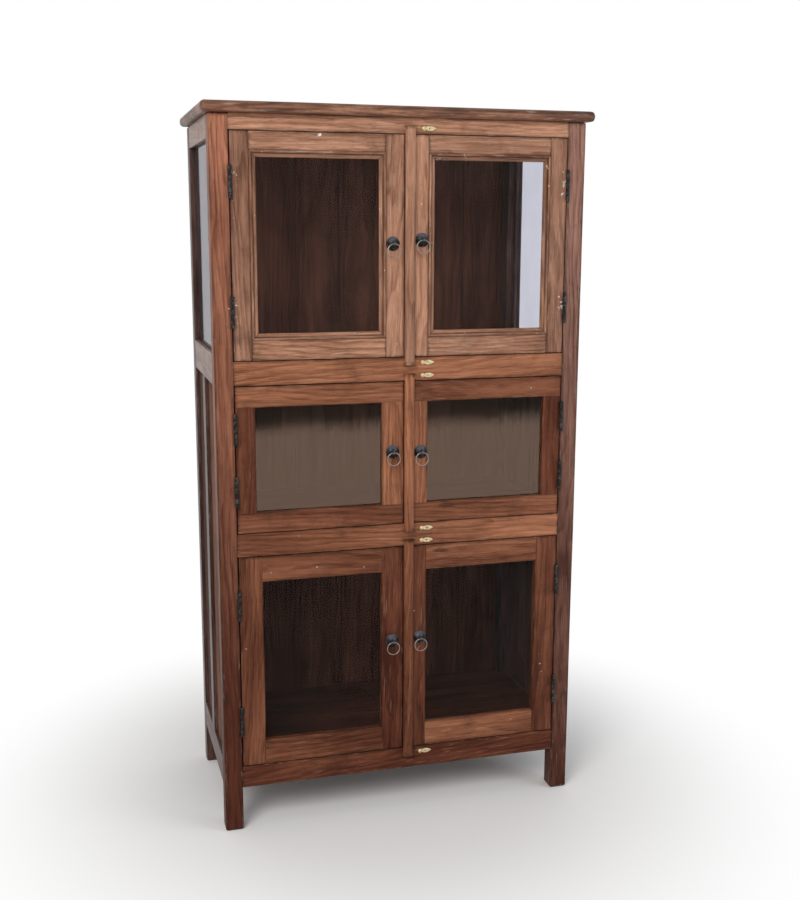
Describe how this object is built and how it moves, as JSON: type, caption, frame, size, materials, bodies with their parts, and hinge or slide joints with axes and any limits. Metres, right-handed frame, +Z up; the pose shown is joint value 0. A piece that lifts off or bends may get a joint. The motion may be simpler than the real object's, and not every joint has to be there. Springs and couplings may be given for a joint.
{
  "type": "glass cabinet",
  "caption": "Tall wooden display cabinet with tiers of paired glass doors, glazed sides, ring pulls, turn buttons and shelves.",
  "frame": {"origin": "on the floor, under the middle of the whole object's box", "axes": "+Z up, -Y the way the doors face, +X to the right for someone facing the doors"},
  "size_m": [0.971, 0.48, 1.8],
  "materials": {
    "post_wood": "worn oiled hardwood, reddish brown",
    "upper_door_wood": "pale worn hardwood with flecks of old paint",
    "lower_door_wood": "dark worn hardwood",
    "side_wood": "dusty grey brown hardwood",
    "inner_wood": "dark unpolished boards",
    "window_glass": "clear old window glass",
    "black_iron": "blackened, satin",
    "worn_steel": "rubbed bright",
    "aged_brass": "dull and pale"
  },
  "bodies": {
    "cabinet": {"front_left_post": "post_wood", "front_right_post": "post_wood", "back_left_post": "post_wood", "back_right_post": "post_wood", "top_front_rail": "upper_door_wood", "upper_front_rail": "upper_door_wood", "lower_front_rail": "lower_door_wood", "bottom_front_rail": "lower_door_wood", "top_board": "upper_door_wood", "left_side_frame": "side_wood", "right_side_frame": "side_wood", "side_panels": "side_wood", "side_glass_panes": "window_glass", "back_rails": "inner_wood", "back_boards": "inner_wood", "upper_shelf": "inner_wood", "lower_shelf": "inner_wood", "floor_board": "inner_wood", "fixed_hinge_leaves": "black_iron", "hinge_pins": "black_iron", "turn_button_screws": "aged_brass"},
    "upper_left_door": {"upper_left_door_frame": "upper_door_wood", "upper_left_door_glass": "window_glass", "upper_left_door_hinge_leaves": "black_iron", "upper_left_door_pull_boss": "black_iron"},
    "upper_left_door_pull_ring": {"upper_left_door_pull_ring": "worn_steel"},
    "upper_right_door": {"upper_right_door_frame": "upper_door_wood", "upper_right_door_glass": "window_glass", "upper_right_door_hinge_leaves": "black_iron", "upper_right_door_pull_boss": "black_iron", "upper_right_door_astragal": "upper_door_wood"},
    "upper_right_door_pull_ring": {"upper_right_door_pull_ring": "worn_steel"},
    "middle_left_door": {"middle_left_door_frame": "lower_door_wood", "middle_left_door_glass": "window_glass", "middle_left_door_hinge_leaves": "black_iron", "middle_left_door_pull_boss": "black_iron"},
    "middle_left_door_pull_ring": {"middle_left_door_pull_ring": "worn_steel"},
    "middle_right_door": {"middle_right_door_frame": "lower_door_wood", "middle_right_door_glass": "window_glass", "middle_right_door_hinge_leaves": "black_iron", "middle_right_door_pull_boss": "black_iron", "middle_right_door_astragal": "lower_door_wood"},
    "middle_right_door_pull_ring": {"middle_right_door_pull_ring": "worn_steel"},
    "lower_left_door": {"lower_left_door_frame": "lower_door_wood", "lower_left_door_glass": "window_glass", "lower_left_door_hinge_leaves": "black_iron", "lower_left_door_pull_boss": "black_iron"},
    "lower_left_door_pull_ring": {"lower_left_door_pull_ring": "worn_steel"},
    "lower_right_door": {"lower_right_door_frame": "lower_door_wood", "lower_right_door_glass": "window_glass", "lower_right_door_hinge_leaves": "black_iron", "lower_right_door_pull_boss": "black_iron", "lower_right_door_astragal": "lower_door_wood"},
    "lower_right_door_pull_ring": {"lower_right_door_pull_ring": "worn_steel"},
    "upper_door_top_turn_button": {"upper_door_top_turn_button": "aged_brass"},
    "upper_door_bottom_turn_button": {"upper_door_bottom_turn_button": "aged_brass"},
    "middle_door_top_turn_button": {"middle_door_top_turn_button": "aged_brass"},
    "middle_door_bottom_turn_button": {"middle_door_bottom_turn_button": "aged_brass"},
    "lower_door_top_turn_button": {"lower_door_top_turn_button": "aged_brass"},
    "lower_door_bottom_turn_button": {"lower_door_bottom_turn_button": "aged_brass"}
  },
  "joints": [
    {"name": "upper_left_door_hinge", "type": "hinge", "parent": "cabinet", "child": "upper_left_door", "pos_m": [-0.421, -0.2248, 1.4695], "axis": [0, 0, -1], "range_deg": [0, 170]},
    {"name": "upper_left_door_pull_ring_swing", "type": "hinge", "parent": "upper_left_door", "child": "upper_left_door_pull_ring", "pos_m": [-0.03, -0.235, 1.4785], "axis": [-1, 0, 0], "range_deg": [0, 110]},
    {"name": "upper_right_door_hinge", "type": "hinge", "parent": "cabinet", "child": "upper_right_door", "pos_m": [0.421, -0.2248, 1.4695], "axis": [0, 0, 1], "range_deg": [0, 170]},
    {"name": "upper_right_door_pull_ring_swing", "type": "hinge", "parent": "upper_right_door", "child": "upper_right_door_pull_ring", "pos_m": [0.0435, -0.235, 1.4875], "axis": [-1, 0, 0], "range_deg": [0, 110]},
    {"name": "middle_left_door_hinge", "type": "hinge", "parent": "cabinet", "child": "middle_left_door", "pos_m": [-0.421, -0.2248, 0.9615], "axis": [0, 0, -1], "range_deg": [0, 170]},
    {"name": "middle_left_door_pull_ring_swing", "type": "hinge", "parent": "middle_left_door", "child": "middle_left_door_pull_ring", "pos_m": [-0.03, -0.235, 0.9665], "axis": [-1, 0, 0], "range_deg": [0, 110]},
    {"name": "middle_right_door_hinge", "type": "hinge", "parent": "cabinet", "child": "middle_right_door", "pos_m": [0.421, -0.2248, 0.9615], "axis": [0, 0, 1], "range_deg": [0, 170]},
    {"name": "middle_right_door_pull_ring_swing", "type": "hinge", "parent": "middle_right_door", "child": "middle_right_door_pull_ring", "pos_m": [0.0435, -0.235, 0.9635], "axis": [-1, 0, 0], "range_deg": [0, 110]},
    {"name": "lower_left_door_hinge", "type": "hinge", "parent": "cabinet", "child": "lower_left_door", "pos_m": [-0.421, -0.2248, 0.446], "axis": [0, 0, -1], "range_deg": [0, 170]},
    {"name": "lower_left_door_pull_ring_swing", "type": "hinge", "parent": "lower_left_door", "child": "lower_left_door_pull_ring", "pos_m": [-0.03, -0.235, 0.471], "axis": [-1, 0, 0], "range_deg": [0, 110]},
    {"name": "lower_right_door_hinge", "type": "hinge", "parent": "cabinet", "child": "lower_right_door", "pos_m": [0.421, -0.2248, 0.446], "axis": [0, 0, 1], "range_deg": [0, 170]},
    {"name": "lower_right_door_pull_ring_swing", "type": "hinge", "parent": "lower_right_door", "child": "lower_right_door_pull_ring", "pos_m": [0.0435, -0.235, 0.474], "axis": [-1, 0, 0], "range_deg": [0, 110]},
    {"name": "upper_door_top_turn_button_pivot", "type": "hinge", "parent": "cabinet", "child": "upper_door_top_turn_button", "pos_m": [0.047, -0.2218, 1.75], "axis": [0, 1, 0], "range_deg": [0, 90]},
    {"name": "upper_door_bottom_turn_button_pivot", "type": "hinge", "parent": "cabinet", "child": "upper_door_bottom_turn_button", "pos_m": [0.047, -0.2218, 1.189], "axis": [0, -1, 0], "range_deg": [0, 90]},
    {"name": "middle_door_top_turn_button_pivot", "type": "hinge", "parent": "cabinet", "child": "middle_door_top_turn_button", "pos_m": [0.047, -0.2218, 1.157], "axis": [0, 1, 0], "range_deg": [0, 90]},
    {"name": "middle_door_bottom_turn_button_pivot", "type": "hinge", "parent": "cabinet", "child": "middle_door_bottom_turn_button", "pos_m": [0.047, -0.2218, 0.766], "axis": [0, -1, 0], "range_deg": [0, 90]},
    {"name": "lower_door_top_turn_button_pivot", "type": "hinge", "parent": "cabinet", "child": "lower_door_top_turn_button", "pos_m": [0.047, -0.2218, 0.734], "axis": [0, 1, 0], "range_deg": [0, 90]},
    {"name": "lower_door_bottom_turn_button_pivot", "type": "hinge", "parent": "cabinet", "child": "lower_door_bottom_turn_button", "pos_m": [0.047, -0.2218, 0.158], "axis": [0, -1, 0], "range_deg": [0, 90]}
  ]
}
